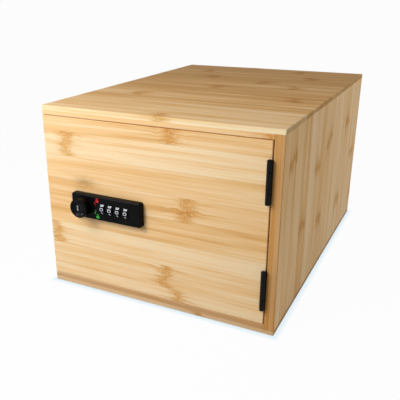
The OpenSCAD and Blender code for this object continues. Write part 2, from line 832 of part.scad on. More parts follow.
// Locking bar: a yoke round the eccentric, a strip with a slot for the cover's post, and four fingers
module locking_bar() {
    yoke_x = knob_x - bar_travel / 2;
    post_x = post_centres[0];
    strip_end = dial_x(dials) + finger_x + finger_t + bar_slide_gap;
    finger_tip = wheel_y + sleeve_r + bar_slide_gap;
    color(steel) in_lock() difference() {
        union() {
            block([yoke_x - yoke_half_w - yoke_wall, bar_y, -yoke_half_h - yoke_wall],
                  [yoke_x + yoke_half_w + yoke_wall, bar_back_y, yoke_half_h + yoke_wall]);
            block([yoke_x + yoke_half_w, bar_y, -bar_h / 2], [strip_end, bar_back_y, bar_h / 2]);
            for (i = [1:dials])
                translate([dial_x(i), 0, 0])
                    block([finger_x, finger_tip, -finger_w / 2], [finger_x + finger_t, bar_back_y, finger_w / 2]);
        }
        block([yoke_x - yoke_half_w, bar_y - over, -yoke_half_h],
              [yoke_x + yoke_half_w, bar_back_y + over, yoke_half_h]);
        block([post_x - post_w / 2 - bar_travel - bar_slide_gap, bar_y - over, -post_h / 2 - post_play],
              [post_x + post_w / 2 + bar_slide_gap, bar_back_y + over, post_h / 2 + post_play]);
    }
}

top_board();
bottom_board();
left_board();
right_board();
back_board();
frame_leaf(hinge_heights[0]);  // upper_frame_leaf
frame_leaf(hinge_heights[1]);  // lower_frame_leaf
hinge_pin(hinge_heights[0]);  // upper_hinge_pin
hinge_pin(hinge_heights[1]);  // lower_hinge_pin
frame_leaf_screws();
strike_plate();
strike_screws();
door_panel();
door_leaf(hinge_heights[0]);  // upper_door_leaf
door_leaf(hinge_heights[1]);  // lower_door_leaf
door_leaf_screws();
lock_housing();
lock_cover();
cover_screws();
mounting_screws();
dial_axle();
code_sleeve(1);  // code_sleeve_1
code_sleeve(2);  // code_sleeve_2
code_sleeve(3);  // code_sleeve_3
code_sleeve(4);  // code_sleeve_4
detent_spring();
knob();
spindle();
lock_cam();
cam_washer();
cam_screw();
key_plug();
dial_wheel(1);  // dial_wheel_1
dial_wheel(2);  // dial_wheel_2
dial_wheel(3);  // dial_wheel_3
dial_wheel(4);  // dial_wheel_4
locking_bar();
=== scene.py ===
# Liquor bottle lock box: the finishes, the printed digits and marks, the light and the camera.
# Lengths are in metres in the model's own frame: the origin is the middle of the base and the door faces -Y.
import json
import math

import bmesh
import bpy
import numpy as np
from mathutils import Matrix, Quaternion, Vector

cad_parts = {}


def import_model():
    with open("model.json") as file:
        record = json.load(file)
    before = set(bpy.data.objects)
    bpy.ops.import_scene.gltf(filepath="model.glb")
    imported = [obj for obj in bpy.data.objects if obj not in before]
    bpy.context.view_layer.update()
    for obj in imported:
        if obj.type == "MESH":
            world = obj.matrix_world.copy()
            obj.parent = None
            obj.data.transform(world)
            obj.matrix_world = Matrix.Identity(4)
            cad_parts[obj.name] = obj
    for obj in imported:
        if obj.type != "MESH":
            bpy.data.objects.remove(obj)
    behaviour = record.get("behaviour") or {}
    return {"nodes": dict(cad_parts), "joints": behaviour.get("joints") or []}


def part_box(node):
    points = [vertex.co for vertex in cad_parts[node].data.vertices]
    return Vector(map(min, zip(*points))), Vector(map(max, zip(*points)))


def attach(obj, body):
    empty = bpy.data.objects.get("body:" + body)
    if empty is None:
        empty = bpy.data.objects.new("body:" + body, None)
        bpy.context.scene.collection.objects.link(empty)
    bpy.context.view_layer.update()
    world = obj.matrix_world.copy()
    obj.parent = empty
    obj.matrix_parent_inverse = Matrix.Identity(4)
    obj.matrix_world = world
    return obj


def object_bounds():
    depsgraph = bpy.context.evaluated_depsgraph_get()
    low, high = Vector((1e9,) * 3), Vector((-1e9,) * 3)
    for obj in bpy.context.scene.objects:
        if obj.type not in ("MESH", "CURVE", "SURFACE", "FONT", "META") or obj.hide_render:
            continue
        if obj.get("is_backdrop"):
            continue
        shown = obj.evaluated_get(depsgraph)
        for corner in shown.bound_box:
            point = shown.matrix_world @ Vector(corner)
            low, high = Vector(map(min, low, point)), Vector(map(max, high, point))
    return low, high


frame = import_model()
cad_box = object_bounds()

MM = 0.001

# Places on the part, from its own nodes and joints
JOINTS = {joint["name"]: joint for joint in frame["joints"]}
HOUSING_LOW, HOUSING_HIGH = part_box("lock_housing")
WHEEL_LOW, WHEEL_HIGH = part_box("dial_wheel_1")
WHEEL_R = (WHEEL_HIGH.z - WHEEL_LOW.z) / 2


class Paint:
    """A material's node tree: each call adds a node and returns its output socket."""

    def __init__(self, name):
        self.material = bpy.data.materials.new(name)
        self.material.use_nodes = True
        self.tree = self.material.node_tree
        self.shader = self.tree.nodes["Principled BSDF"]

    def feed(self, socket, value):
        if isinstance(value, bpy.types.NodeSocket):
            self.tree.links.new(value, socket)
        else:
            socket.default_value = value

    def add(self, kind, inputs, output=0, **settings):
        node = self.tree.nodes.new("ShaderNode" + kind)
        for key, value in settings.items():
            setattr(node, key, value)
        for key, value in inputs.items():
            self.feed(node.inputs[key], value)
        return node.outputs[output]

    def math(self, operation, a, b=0.0, c=0.0):
        return self.add("Math", {0: a, 1: b, 2: c}, operation=operation)

    def plus(self, a, b):
        return self.math("ADD", a, b)

    def minus(self, a, b):
        return self.math("SUBTRACT", a, b)

    def times(self, a, b):
        return self.math("MULTIPLY", a, b)

    def swing(self, value, reach):
        """A value round 0.5 turned into one round 0, reach times as wide."""
        return self.times(self.minus(value, 0.5), reach)

    def step(self, value, low, high):
        """0 at low and 1 at high, smooth between; high may be the lower one."""
        return self.add(
            "MapRange",
            {"Value": value, "From Min": low, "From Max": high},
            interpolation_type="SMOOTHSTEP",
        )

    def hump(self, value, width):
        """1 where value is 0, and down to 0 a few widths away, as a bell curve."""
        scaled = self.math("DIVIDE", value, width)
        return self.math("EXPONENT", self.times(self.times(scaled, scaled), -1.0))

    def place(self):
        """The object's own coordinates in millimetres, as three sockets."""
        point = self.add("TexCoord", {}, output=3)
        scaled = self.add("VectorMath", {0: point, 3: 1 / MM}, operation="SCALE")
        return self.add("SeparateXYZ", {0: scaled}).node.outputs

    def vector(self, x, y, z):
        return self.add("CombineXYZ", {0: x, 1: y, 2: z})

    def stretched(self, u, v, w, along, across):
        """The point (u * along, v * across, w * across)."""
        return self.vector(self.times(u, along), self.times(v, across), self.times(w, across))

    def noise(self, vector, scale=1.0, detail=2.0):
        inputs = {"Vector": vector, "Scale": scale, "Detail": detail}
        return self.add("TexNoise", inputs)

    def mix(self, share, a, b, kind="MIX"):
        return self.add("Mix", {0: share, 6: a, 7: b}, output=2, data_type="RGBA", blend_type=kind)

    def shade(self, share, colour, tint):
        """The colour multiplied by the tint, to the extent of share."""
        return self.mix(share, colour, self.mix(1.0, colour, tint, "MULTIPLY"))

    def ramp(self, value, stops, constant=False):
        """A colour for each value: stops are (position, colour)."""
        socket = self.add("ValToRGB", {0: value})
        ramp = socket.node.color_ramp
        ramp.interpolation = "CONSTANT" if constant else "LINEAR"
        while len(ramp.elements) < len(stops):
            ramp.elements.new(1.0)
        for element, (position, colour) in zip(ramp.elements, stops):
            element.position = position
            element.color = (*colour, 1.0)
        return socket

    def lookup(self, index, values):
        """values[index], for an index that counts from 0 and values from 0 to 1."""
        n = len(values)
        share = self.times(self.plus(index, 0.5), 1 / n)
        return self.ramp(share, [(i / n, (value,) * 3) for i, value in enumerate(values)], constant=True)

    def bump(self, height, distance):
        normal = self.add("Bump", {"Height": height, "Distance": distance, "Strength": 1.0})
        self.feed(self.shader.inputs["Normal"], normal)

    def finish(self, **values):
        """Sets the shader's own sockets, named with underscores for spaces, and returns the material."""
        for name, value in values.items():
            self.feed(self.shader.inputs[name.replace("_", " ")], value)
        return self.material


# Bamboo: strips glued side by side, in two plies. Its colours run from cream to amber.
CANE = (
    (0.0, (0.87, 0.665, 0.41)),
    (0.3, (0.85, 0.60, 0.335)),
    (0.55, (0.81, 0.525, 0.25)),
    (0.8, (0.75, 0.445, 0.18)),
    (1.0, (0.66, 0.355, 0.12)),
)
KNOT_HAZE = (0.80, 0.62, 0.38, 1.0)
KNOT_BROWN = (0.50, 0.265, 0.095, 1.0)
KNOT_PALE = (0.86, 0.65, 0.39, 1.0)
DARK_PATCH_COLOUR = (0.60, 0.50, 0.40, 1.0)
SEAM_SHADE = (0.87, 0.80, 0.71, 1.0)
END_SHADE = (0.74, 0.66, 0.56, 1.0)
END_PORE = (0.45, 0.33, 0.22, 1.0)
PLAIN = (1.0, 1.0, 1.0, 1.0)

# Strips, in millimetres: their width, how deep a board's face reaches before an edge begins, and how far
# from the middle a joint of the cane may lie
STRIP_W = 30.0
FACE_SKIN = 0.08
JOINT_REACH = 500.0

# How the inner ply differs: its seams' shift in strips, and the spread of its joints and tones
PLY_SHIFT = 0.37
PLY_JOINT_SPREAD = 300.0
PLY_TONE_SPREAD = 0.4

# Streaks along the grain: length and width in millimetres, detail of the noise, and swing of the tone
BROAD_STREAK = (170.0, 9.0, 2.0)
BROAD_SWING = 1.35
MIDDLE_STREAK = (150.0, 1.8, 3.0)
MIDDLE_SWING = 1.05
FINE_STREAK = (45.0, 0.5, 1.0)
FINE_SWING = 0.35
STREAK_START_SPREAD = 900.0

# The joint of the cane, in millimetres: its lean and ragged edge, its half width and that width's spread.
# A GRAIN is how fast a noise runs along and across the grain, per millimetre; for the lean, per strip.
KNOT_LEAN = 30.0
KNOT_LEAN_GRAIN = (7.3, 0.06)
KNOT_RAG = 26.0
KNOT_RAG_GRAIN = (0.05, 0.32)
KNOT_HALF_W = 5.5
KNOT_SPREAD = 3.0
KNOT_TAIL = 3.2
KNOT_BEND = 10.0
KNOT_BEND_GRAIN = 0.10
KNOT_SOFTNESS = 0.6

# Amber streaks out of a joint: the part of the noise that shows, and their share
TRAIL_STREAKS = (0.44, 0.64)
TRAIL_SHARE = 0.75

# Flecks in a joint: where an oval fades, where the band is wide enough, which ovals are brown or pale
FLECK_GRAIN = (0.24, 0.42)
FLECK_EDGE = (0.50, 0.22)
FLECK_BAND = (0.15, 0.55)
BROWN_KINDS = (0.38, 0.55)
BROWN_SHARE = 0.68
PALE_KINDS = (0.38, 0.20)
PALE_SHARE = 0.42

# Darker patches: the noise that blurs them, along and across the grain, its swing, and their share
PATCH_BLUR_ALONG = 0.12
PATCH_BLUR_ACROSS = 0.2
PATCH_BLUR = 1.4
PATCH_SHARE = 0.75

# Glue lines fade between these distances from a seam; pores of the end grain, per millimetre
SEAM_EDGE = (0.32, 0.10)
PORE_SCALE = 1.4
PORE_EDGE = (0.34, 0.16)

# The surface: relief in millimetres and the part each feature has in it, and the lacquer
GRAIN_RELIEF = 0.06
FINE_RELIEF = 0.5
MIDDLE_RELIEF = 0.35
SEAM_RELIEF = 0.5
FLECK_RELIEF = 0.4
LACQUER_ROUGHNESS = 0.34
STREAK_ROUGHNESS = 0.16
FLECK_ROUGHNESS = 0.15
LACQUER_SHINE = 0.004


class Board:
    """How a board is cut from bamboo.

    axes: the axes along the grain, across the strips and through the board, such as "XZY".
    outer: -1 or 1, the side of the third axis on which the outer ply lies.
    first_seam: where the first strip starts, in millimetres on the second axis.
    strips: for each strip its tone, 0 cream to 1 amber, and where along the grain the joint of its cane lies.
    edge_tints: colours that the long edges of the outer and the inner ply are multiplied by.
    darker patches on the outer face (the last argument), each a place along, a place across and two half
    sizes.
    """

    def __init__(self, node, axes, outer, first_seam, strips, edge_tints=(PLAIN, PLAIN), dark_places=()):
        self.node = node
        self.axes = axes
        self.outer = outer
        self.first_seam = first_seam
        self.tones = [tone for tone, joint in strips]
        self.joints = [0.5 + joint / (2 * JOINT_REACH) for tone, joint in strips]
        self.edge_tints = edge_tints
        self.dark_places = dark_places

    def reach(self, axis):
        """The board's lowest and highest place on an axis, in millimetres."""
        low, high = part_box(self.node)
        i = "XYZ".index(axis)
        return low[i] / MM, high[i] / MM


def flecks(p, u, v, w, band):
    """Oval flecks in a joint's band: the share of the brown ones and that of the pale ones."""
    place = p.stretched(u, v, w, *FLECK_GRAIN)
    ovals = p.add("TexVoronoi", {"Vector": place, "Scale": 1.0})
    kind = p.add("SeparateColor", {0: ovals.node.outputs["Color"]})
    oval = p.times(p.step(ovals, *FLECK_EDGE), p.step(band, *FLECK_BAND))
    return p.times(oval, p.step(kind, *BROWN_KINDS)), p.times(oval, p.step(kind, *PALE_KINDS))


def dark_patches(p, board, u, v, depth, colour):
    """The colour with the board's darker patches on its outer face, each exp(-(a^2 + b^2)) of its two half
    sizes.
    """
    for along, wide, half_along, half_wide in board.dark_places:
        place = p.vector(p.times(u, PATCH_BLUR_ALONG), p.times(v, PATCH_BLUR_ACROSS), 0.0)
        a = p.math("DIVIDE", p.minus(u, along), half_along)
        b = p.plus(p.math("DIVIDE", p.minus(v, wide), half_wide), p.swing(p.noise(place), PATCH_BLUR))
        mark = p.math("EXPONENT", p.times(p.plus(p.times(a, a), p.times(b, b)), -1.0))
        mark = p.times(mark, p.math("LESS_THAN", depth, FACE_SKIN))
        colour = p.shade(p.times(mark, PATCH_SHARE), colour, DARK_PATCH_COLOUR)
    return colour


def edges_and_ends(p, board, u, v, w, depth, ply, colour):
    """The colour with each ply's long edges tinted, and with darker, porous end grain."""
    w_low, w_high = board.reach(board.axes[2])
    from_face = p.math("MINIMUM", depth, p.minus(w_high - w_low, depth))
    edge = p.math("GREATER_THAN", from_face, FACE_SKIN)
    colour = p.shade(edge, colour, p.mix(ply, *board.edge_tints))
    u_low, u_high = board.reach(board.axes[0])
    from_end = p.math("MINIMUM", p.minus(u, u_low), p.minus(u_high, u))
    end = p.math("LESS_THAN", from_end, FACE_SKIN)
    place = p.vector(0.0, p.times(v, PORE_SCALE), p.times(w, PORE_SCALE))
    pores = p.add("TexVoronoi", {"Vector": place, "Scale": 1.0})
    return p.shade(end, colour, p.mix(p.step(pores, *PORE_EDGE), END_SHADE, END_PORE))


def bamboo(board):
    """Streaks along the grain in strips of their own tones, with the cane's brown joint across each."""
    p = Paint("bamboo_" + board.node)
    x, y, z = p.place()
    u, v, w = ({"X": x, "Y": y, "Z": z}[axis] for axis in board.axes)
    w_low, w_high = board.reach(board.axes[2])

    # Depth below the outer face, ply and strip
    depth = p.minus(w, w_low) if board.outer < 0 else p.minus(w_high, w)
    ply = p.math("GREATER_THAN", depth, (w_high - w_low) / 2)
    count = p.plus(p.math("DIVIDE", p.minus(v, board.first_seam), STRIP_W), p.times(ply, PLY_SHIFT))
    strip = p.math("FLOOR", count)
    across = p.times(p.minus(count, strip), STRIP_W)
    chance = p.add("TexWhiteNoise", {"Vector": p.vector(strip, ply, float(len(board.node)))}, output=1)
    luck = p.add("SeparateColor", {0: chance}).node.outputs

    # The joint of the cane: a ragged band across each strip
    joint = p.times(p.minus(p.lookup(strip, board.joints), 0.5), 2 * JOINT_REACH)
    joint = p.plus(joint, p.times(ply, p.swing(luck[1], PLY_JOINT_SPREAD)))
    lean = p.swing(p.noise(p.stretched(strip, v, w, *KNOT_LEAN_GRAIN)), KNOT_LEAN)
    rag = p.swing(p.noise(p.stretched(u, v, w, *KNOT_RAG_GRAIN), detail=3.0), KNOT_RAG)
    off = p.minus(p.minus(u, joint), p.plus(lean, rag))
    width = p.plus(p.times(luck[2], KNOT_SPREAD), KNOT_HALF_W)
    band = p.hump(off, width)
    tail = p.hump(off, p.times(width, KNOT_TAIL))

    # Streaks, which bend a little at the joint
    place = p.vector(p.times(u, KNOT_BEND_GRAIN), p.times(v, KNOT_BEND_GRAIN), w)
    grain_v = p.plus(v, p.times(p.swing(p.noise(place), KNOT_BEND), tail))
    start = p.times(luck[0], STREAK_START_SPREAD)

    def streaks(length, width, detail):
        place = p.stretched(p.plus(u, start), grain_v, w, 1 / length, 1 / width)
        return p.noise(place, detail=detail)

    broad = streaks(*BROAD_STREAK)
    middle = streaks(*MIDDLE_STREAK)
    fine = streaks(*FINE_STREAK)
    tone = p.plus(p.lookup(strip, board.tones), p.times(ply, p.swing(luck[0], PLY_TONE_SPREAD)))
    tone = p.plus(tone, p.swing(broad, BROAD_SWING))
    tone = p.plus(tone, p.swing(middle, MIDDLE_SWING))
    tone = p.plus(tone, p.swing(fine, FINE_SWING))
    colour = p.ramp(tone, CANE)

    # A warm haze over the joint, with amber streaks that run out of it, and flecks in it
    trail = p.times(tail, p.step(middle, *TRAIL_STREAKS))
    haze = p.math("MAXIMUM", p.math("POWER", band, KNOT_SOFTNESS), p.times(trail, TRAIL_SHARE))
    colour = p.shade(haze, colour, KNOT_HAZE)
    brown, pale = flecks(p, u, grain_v, w, band)
    colour = p.mix(p.times(brown, BROWN_SHARE), colour, KNOT_BROWN)
    colour = p.mix(p.times(pale, PALE_SHARE), colour, KNOT_PALE)

    # Darker patches, glue lines, long edges and end grain
    colour = dark_patches(p, board, u, v, depth, colour)
    from_seam = p.math("MINIMUM", across, p.minus(STRIP_W, across))
    seam = p.step(from_seam, *SEAM_EDGE)
    colour = p.shade(seam, colour, SEAM_SHADE)
    colour = edges_and_ends(p, board, u, v, w, depth, ply, colour)

    height = p.plus(p.times(fine, FINE_RELIEF), p.times(middle, MIDDLE_RELIEF))
    height = p.minus(height, p.plus(p.times(seam, SEAM_RELIEF), p.times(brown, FLECK_RELIEF)))
    p.bump(height, GRAIN_RELIEF * MM)
    gloss = p.plus(p.times(middle, STREAK_ROUGHNESS), p.times(brown, FLECK_ROUGHNESS))
    roughness = p.plus(gloss, LACQUER_ROUGHNESS)
    return p.finish(Base_Color=colour, Roughness=roughness, Specular_IOR_Level=LACQUER_SHINE)


# The boards: the case's front in millimetres, and a place off every board for a strip with no joint in view
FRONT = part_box("top_board")[0].y / MM
NO_JOINT = 480.0
SIDE_EDGE = (0.80, 0.74, 0.66, 1.0)
BOARDS = (
    Board(
        "door_panel", "XZY", -1, -2.0,
        [(0.14, 30), (0.36, 14), (0.14, -146), (0.60, NO_JOINT),
         (0.57, 45), (0.48, NO_JOINT), (0.20, -117), (0.58, 20)],
        # A soft darker patch on the door above the lock's left end
        dark_places=((-95.0, 147.0, 14.0, 6.0),),
    ),
    Board(
        "top_board", "XYZ", 1, FRONT - 11.0,
        [(0.46, 8), (0.60, NO_JOINT), (0.52, NO_JOINT), (0.86, NO_JOINT), (0.68, -87),
         (0.92, 115), (1.0, NO_JOINT), (0.88, -10), (0.84, 91), (0.94, 35),
         (1.04, -57), (0.96, 92), (0.90, -90), (1.0, 60), (0.90, -20)],
        edge_tints=((1.04, 1.16, 1.28, 1.0), (0.98, 0.88, 0.75, 1.0)),
    ),
    Board(
        "bottom_board", "XYZ", -1, FRONT - 4.0,
        [(0.4, 60), (0.5, -90), (0.3, NO_JOINT), (0.6, 20), (0.45, 120),
         (0.35, -40), (0.55, NO_JOINT), (0.5, 80), (0.4, -110), (0.6, 10),
         (0.3, NO_JOINT), (0.5, 50), (0.45, -70), (0.55, 100), (0.4, 0)],
        edge_tints=((0.81, 0.76, 0.75, 1.0), (0.66, 0.575, 0.51, 1.0)),
    ),
    Board(
        "right_board", "ZYX", 1, FRONT - 10.0,
        [(0.45, NO_JOINT), (0.58, 195), (0.42, NO_JOINT), (0.75, 98), (0.32, NO_JOINT),
         (0.52, 158), (0.62, 75), (0.50, 181), (0.40, NO_JOINT), (0.32, NO_JOINT),
         (0.45, 60), (0.48, 178), (0.38, NO_JOINT), (0.35, 120), (0.50, 40)],
        edge_tints=((0.725, 0.59, 0.44, 1.0), (0.74, 0.58, 0.38, 1.0)),
    ),
    Board(
        "left_board", "ZYX", -1, FRONT + 2.0,
        [(0.50, 60), (0.35, 150), (0.55, NO_JOINT), (0.42, 30), (0.62, 190),
         (0.40, NO_JOINT), (0.50, 110), (0.34, NO_JOINT), (0.60, 80), (0.45, 200),
         (0.38, NO_JOINT), (0.55, 140), (0.48, 20), (0.40, NO_JOINT), (0.50, 90)],
        edge_tints=(SIDE_EDGE, SIDE_EDGE),
    ),
    Board(
        "back_board", "XZY", 1, -12.0,
        [(0.45, -60), (0.40, 90), (0.55, NO_JOINT), (0.35, -20), (0.60, 120),
         (0.45, NO_JOINT), (0.38, -110), (0.52, 40), (0.45, NO_JOINT)],
    ),
)


# Metals, lacquer and plastic
def black(name, grain_scale, grain_detail, relief, patch_scale, dark, light, roughness, spread, shine):
    """A black finish: a fine grain in relief, and patches of tone between dark and light.

    The grain adds up to spread to the roughness. Scales are per millimetre, and relief is in millimetres.
    """
    p = Paint(name)
    place = p.vector(*p.place())
    grain = p.noise(place, scale=grain_scale, detail=grain_detail)
    patches = p.noise(place, scale=patch_scale)
    p.bump(grain, relief * MM)
    shade = p.ramp(patches, ((0.3, dark), (0.7, light)))
    roughness = p.plus(p.times(grain, spread), roughness)
    return p.finish(Base_Color=shade, Roughness=roughness, Specular_IOR_Level=shine)


def powder_coat():
    """Black powder coat on steel: fine pebbles and a satin gloss."""
    return black(
        "black_powder_coat", grain_scale=3.2, grain_detail=2.0, relief=0.02, patch_scale=0.12,
        dark=(0.0035, 0.0035, 0.0037), light=(0.0065, 0.0065, 0.0068),
        roughness=0.22, spread=0.16, shine=0.09,
    )


def lacquered_zinc():
    """Satin black lacquer on die-cast zinc: a faint orange peel."""
    return black(
        "black_lacquer", grain_scale=0.9, grain_detail=1.0, relief=0.012, patch_scale=0.05,
        dark=(0.0024, 0.0025, 0.0028), light=(0.0042, 0.0044, 0.0048),
        roughness=0.16, spread=0.08, shine=0.055,
    )


def moulded_plastic():
    """Black moulded plastic of the wheels, with a fine grain."""
    return black(
        "black_plastic", grain_scale=5.0, grain_detail=1.0, relief=0.006, patch_scale=0.3,
        dark=(0.0040, 0.0040, 0.0043), light=(0.0065, 0.0065, 0.0070),
        roughness=0.20, spread=0.12, shine=0.06,
    )


def metal(name, dark, light, line_scale, roughness, spread):
    """A metal with fine tool lines, and a cloudy tone between dark and light.

    line_scale is how closely the lines follow each other along x, y and z.
    """
    p = Paint(name)
    x, y, z = p.place()
    lines = p.noise(p.vector(*(p.times(c, s) for c, s in zip((x, y, z), line_scale))), detail=3.0)
    cloud = p.noise(p.vector(x, y, z), scale=0.25)
    p.bump(lines, 0.006 * MM)
    shade = p.ramp(p.plus(p.times(cloud, 0.6), p.times(lines, 0.4)), ((0.3, dark), (0.7, light)))
    roughness = p.plus(p.times(lines, spread), roughness)
    return p.finish(Base_Color=shade, Metallic=1.0, Roughness=roughness)


def zinc_plate():
    """Zinc plate on the screws and stampings, with faint level lines."""
    return metal(
        "zinc_plate", dark=(0.50, 0.51, 0.53), light=(0.66, 0.67, 0.68), line_scale=(0.5, 0.5, 6.0),
        roughness=0.26, spread=0.18,
    )


def turned_brass():
    """Brass of the code sleeves, with the rings that turning leaves round the axle."""
    return metal(
        "turned_brass", dark=(0.58, 0.40, 0.15), light=(0.75, 0.56, 0.27), line_scale=(8.0, 1.0, 1.0),
        roughness=0.24, spread=0.16,
    )


# Painted glints on the key plug: two bright spots on a band left of the keyway, standing in for highlights
NICKEL = (0.016, 0.016, 0.018, 1.0)
GLINT_WHITE = (0.78, 0.78, 0.78, 1.0)
GLINT_RIGHT = -2.2
GLINT_W = 0.75
GLINT_PLACES = ((1.5, 1.0), (-1.9, 1.1))


def plug_nickel_and_glints():
    """Dark nickel on the key plug and the spindle, with painted glints: a band left of the keyway, painted
    bright in two places.

    Of the constants above, the band's place right of the plug's axis comes first, and the heights of the two
    painted glints above that axis, with their half heights, come last, all in millimetres.
    """
    p = Paint("dark_nickel")
    x, y, z = p.place()
    axis = JOINTS["key_plug_turn"]["pos_m"]
    right = p.minus(x, axis[0] / MM)
    up = p.minus(z, axis[2] / MM)
    scratches = p.noise(p.vector(p.times(x, 2.0), y, p.times(z, 0.8)), detail=3.0)
    lip = p.hump(p.minus(right, GLINT_RIGHT), GLINT_W)
    upper, lower = (p.hump(p.minus(up, height), half) for height, half in GLINT_PLACES)
    glint_spots = p.math("MAXIMUM", upper, lower)
    # Painted glint: the base colour turns bright on the band, in the two places
    painted_glint = p.times(p.times(lip, glint_spots), p.step(scratches, 0.25, 0.5))
    p.bump(scratches, 0.01 * MM)
    roughness = p.plus(p.times(scratches, 0.15), 0.22)
    return p.finish(Base_Color=p.mix(painted_glint, NICKEL, GLINT_WHITE), Metallic=1.0, Roughness=roughness)


def ink(name, colour, worn):
    """Printed ink: a little thinner where noise says so."""
    p = Paint(name)
    place = p.vector(*p.place())
    wear = p.noise(place, scale=2.6, detail=3.0)
    shade = p.ramp(wear, ((0.28, worn), (0.5, colour)))
    p.bump(p.noise(place, scale=9.0), 0.004 * MM)
    return p.finish(Base_Color=shade, Roughness=p.plus(p.times(wear, 0.2), 0.35))


def dress(material, *nodes):
    """Gives the nodes one material in place of their own."""
    for node in nodes:
        mesh = frame["nodes"][node].data
        mesh.materials.clear()
        mesh.materials.append(material)


for board in BOARDS:
    dress(bamboo(board), board.node)
dress(
    powder_coat(),
    "upper_frame_leaf", "lower_frame_leaf", "upper_door_leaf", "lower_door_leaf",
    "upper_hinge_pin", "lower_hinge_pin", "frame_leaf_screws", "door_leaf_screws",
    "strike_plate", "lock_cover",
)
dress(lacquered_zinc(), "lock_housing", "knob")
dress(moulded_plastic(), "dial_wheel_1", "dial_wheel_2", "dial_wheel_3", "dial_wheel_4")
dress(
    zinc_plate(),
    "strike_screws", "cover_screws", "mounting_screws", "lock_cam", "cam_washer", "cam_screw",
    "locking_bar", "detent_spring", "dial_axle",
)
dress(plug_nickel_and_glints(), "key_plug", "spindle")
dress(
    turned_brass(),
    "code_sleeve_1", "code_sleeve_2", "code_sleeve_3", "code_sleeve_4",
)

WHITE_INK = ink("white_ink", (0.56, 0.59, 0.63), (0.44, 0.47, 0.50))
RED_INK = ink("red_ink", (0.52, 0.003, 0.005), (0.38, 0.003, 0.004))
GREEN_INK = ink("green_ink", (0.003, 0.36, 0.020), (0.003, 0.27, 0.015))


# Printed shapes: flat outlines and strokes, from INK_UP above what carries them to INK_DOWN inside it
INK_UP = 0.03 * MM
INK_DOWN = 0.06 * MM
STEP = 0.2 * MM


def rounded(points, radius, closed=False):
    """A path through points, its corners rounded to radius, or to less where a side is short.

    At each corner the arc's ends lie radius * tan(turn / 2) along both sides, and its points are the
    quadratic curve through those ends that has the corner as its control point.
    """
    points = np.array(points, float)
    n = len(points)
    t = np.linspace(0, 1, 9)[:, None]
    path = []
    for i, corner in enumerate(points):
        if not closed and i in (0, n - 1):
            path.append(corner[None])
            continue
        before, after = points[i - 1] - corner, points[(i + 1) % n] - corner
        size_before, size_after = np.linalg.norm(before), np.linalg.norm(after)
        opening = math.acos(np.clip(before @ after / (size_before * size_after), -1, 1))
        back = min(radius / math.tan(opening / 2), 0.48 * size_before, 0.48 * size_after)
        start, stop = corner + before / size_before * back, corner + after / size_after * back
        path.append((1 - t) ** 2 * start + 2 * t * (1 - t) * corner + t ** 2 * stop)
    path = np.concatenate(path)
    return np.concatenate([path, path[:1]]) if closed else path


def evenly(path):
    """The same path with its points about STEP apart."""
    run = np.concatenate([[0], np.cumsum(np.linalg.norm(np.diff(path, axis=0), axis=1))])
    wanted = np.linspace(0, run[-1], max(4, round(run[-1] / STEP)))
    return np.stack([np.interp(wanted, run, path[:, i]) for i in range(2)], 1)


def stroke(path, width, closed=False):
    """A bar of rectangular section carried along a flat path: points (x, y, height) and faces.

    Each point of the path gives four corners, half a width to each side of it along the path's normal,
    at the top and at the bottom of the ink. width is one number, or one for each end.
    """
    path = evenly(path)
    if closed:
        path = path[:-1]
        along = np.roll(path, -1, 0) - np.roll(path, 1, 0)
    else:
        along = np.gradient(path, axis=0)
    along /= np.linalg.norm(along, axis=1)[:, None]
    half = np.linspace(*np.broadcast_to(width, 2), len(path))[:, None] / 2
    side = np.stack([-along[:, 1], along[:, 0]], 1) * half
    n = len(path)
    corners = np.empty((n, 4, 3))
    corners[:, 0, :2] = corners[:, 3, :2] = path + side
    corners[:, 1, :2] = corners[:, 2, :2] = path - side
    corners[:, :2, 2] = INK_UP
    corners[:, 2:, 2] = -INK_DOWN
    ring = np.arange(n if closed else n - 1)[:, None] * 4
    a = np.arange(4)
    b = (a + 1) % 4
    following = (ring + 4) % (4 * n)
    faces = np.stack([ring + a, ring + b, following + b, following + a], -1).reshape(-1, 4).tolist()
    if not closed:
        faces += [[0, 1, 2, 3], [4 * n - 4, 4 * n - 3, 4 * n - 2, 4 * n - 1]]
    return corners.reshape(-1, 3), faces


def plate(outline):
    """A filled flat shape with round corners: a fan from its middle above and below, and a wall between."""
    outline = evenly(outline)[:-1]
    n = len(outline)
    points = np.zeros((2 * n + 2, 3))
    points[:n, :2] = points[n:2 * n, :2] = outline
    points[2 * n:, :2] = outline.mean(0)
    points[:n, 2] = points[2 * n, 2] = INK_UP
    points[n:2 * n, 2] = points[2 * n + 1, 2] = -INK_DOWN
    a = np.arange(n)
    b = (a + 1) % n
    top = np.stack([a, b, np.full(n, 2 * n)], 1).tolist()
    bottom = np.stack([b + n, a + n, np.full(n, 2 * n + 1)], 1).tolist()
    return points, top + bottom + np.stack([a, a + n, b + n, b], 1).tolist()


def piece(name, shapes, material, body):
    """One mesh from (points, faces) shapes already in place, its faces turned outwards."""
    points, faces = [], []
    for shape_points, shape_faces in shapes:
        base = sum(len(block) for block in points)
        points.append(shape_points)
        faces += [[index + base for index in face] for face in shape_faces]
    mesh = bpy.data.meshes.new(name)
    mesh.from_pydata(np.concatenate(points).tolist(), [], faces)
    shell = bmesh.new()
    shell.from_mesh(mesh)
    bmesh.ops.recalc_face_normals(shell, faces=shell.faces)
    shell.to_mesh(mesh)
    shell.free()
    mesh.materials.append(material)
    made = bpy.data.objects.new(name, mesh)
    bpy.context.scene.collection.objects.link(made)
    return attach(made, body)


